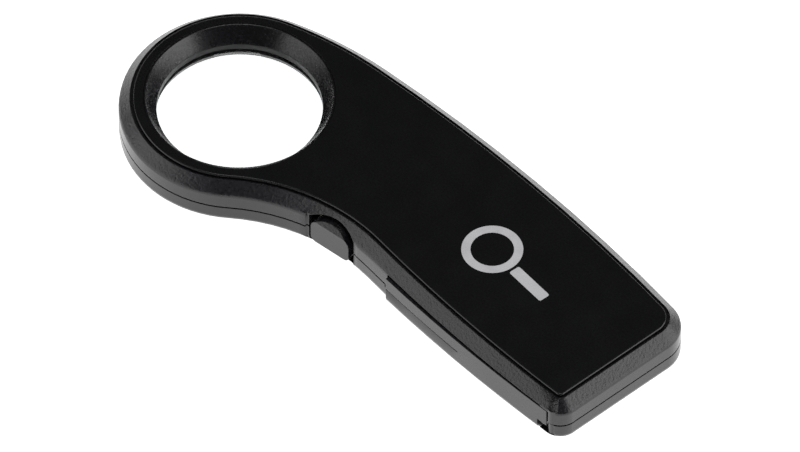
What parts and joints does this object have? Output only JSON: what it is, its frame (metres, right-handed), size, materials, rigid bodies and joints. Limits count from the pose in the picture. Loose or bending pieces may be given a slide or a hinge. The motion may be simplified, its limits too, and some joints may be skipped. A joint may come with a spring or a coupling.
{
  "type": "hand lens",
  "caption": "Flat pocket hand lens in a black plastic case with a bent handle, a light switched by a side button, and a battery door in the side.",
  "frame": {"origin": "middle of the case's box, on its flat back face", "axes": "+X from the lens along the handle, +Y towards the side away from the button, +Z out of the front panel"},
  "size_m": [0.1536, 0.0666, 0.0144],
  "materials": {
    "textured_black_abs": "fine texture",
    "satin_black_abs": "satin",
    "smooth_black_abs": "smooth",
    "clear_acrylic": "clear, polished",
    "green_board": "solder mask",
    "switch_nylon": "moulded",
    "plunger_nylon": "moulded",
    "resistor_lacquer": "lacquer",
    "led_epoxy": "clear",
    "nickel_plate": "plated",
    "red_pvc": "smooth",
    "black_pvc": "smooth",
    "cell_jacket": "plain jacket, no print",
    "bright_steel": "bright"
  },
  "bodies": {
    "case": {"top_shell": "textured_black_abs", "bottom_shell": "textured_black_abs", "front_panel": "satin_black_abs", "lens_ring": "smooth_black_abs", "lens": "clear_acrylic", "circuit_board": "green_board", "switch_body": "switch_nylon", "resistor": "resistor_lacquer", "led_near": "led_epoxy", "led_far": "led_epoxy", "positive_contact": "nickel_plate", "negative_contact": "nickel_plate", "bridge_contact": "nickel_plate", "negative_spring": "nickel_plate", "bridge_spring": "nickel_plate", "wire_positive": "red_pvc", "wire_negative": "black_pvc", "battery_cell_near": "cell_jacket", "battery_cell_far": "cell_jacket", "door_hinge_pin": "bright_steel", "case_screw_1": "bright_steel", "case_screw_2": "bright_steel", "case_screw_3": "bright_steel", "case_screw_4": "bright_steel"},
    "button": {"push_button": "textured_black_abs"},
    "plunger": {"switch_plunger": "plunger_nylon"},
    "door": {"battery_door": "textured_black_abs"}
  },
  "joints": [
    {"name": "button_press", "type": "slide", "parent": "case", "child": "button", "axis": [-0.1582, 0.9874, 0], "range_m": [0, 0.001], "stiffness_N_per_m": 800, "springref_m": -0.0005},
    {"name": "switch_press", "type": "slide", "parent": "case", "child": "plunger", "axis": [-0.1582, 0.9874, 0], "range_m": [0, 0.001]},
    {"name": "battery_door_hinge", "type": "hinge", "parent": "case", "child": "door", "pos_m": [0.0732, -0.01055, 0.007], "axis": [0, 0, 1], "range_deg": [0, 90]}
  ],
  "couplings": [
    {"joint": "switch_press", "follows": "button_press", "ratio": 1}
  ]
}
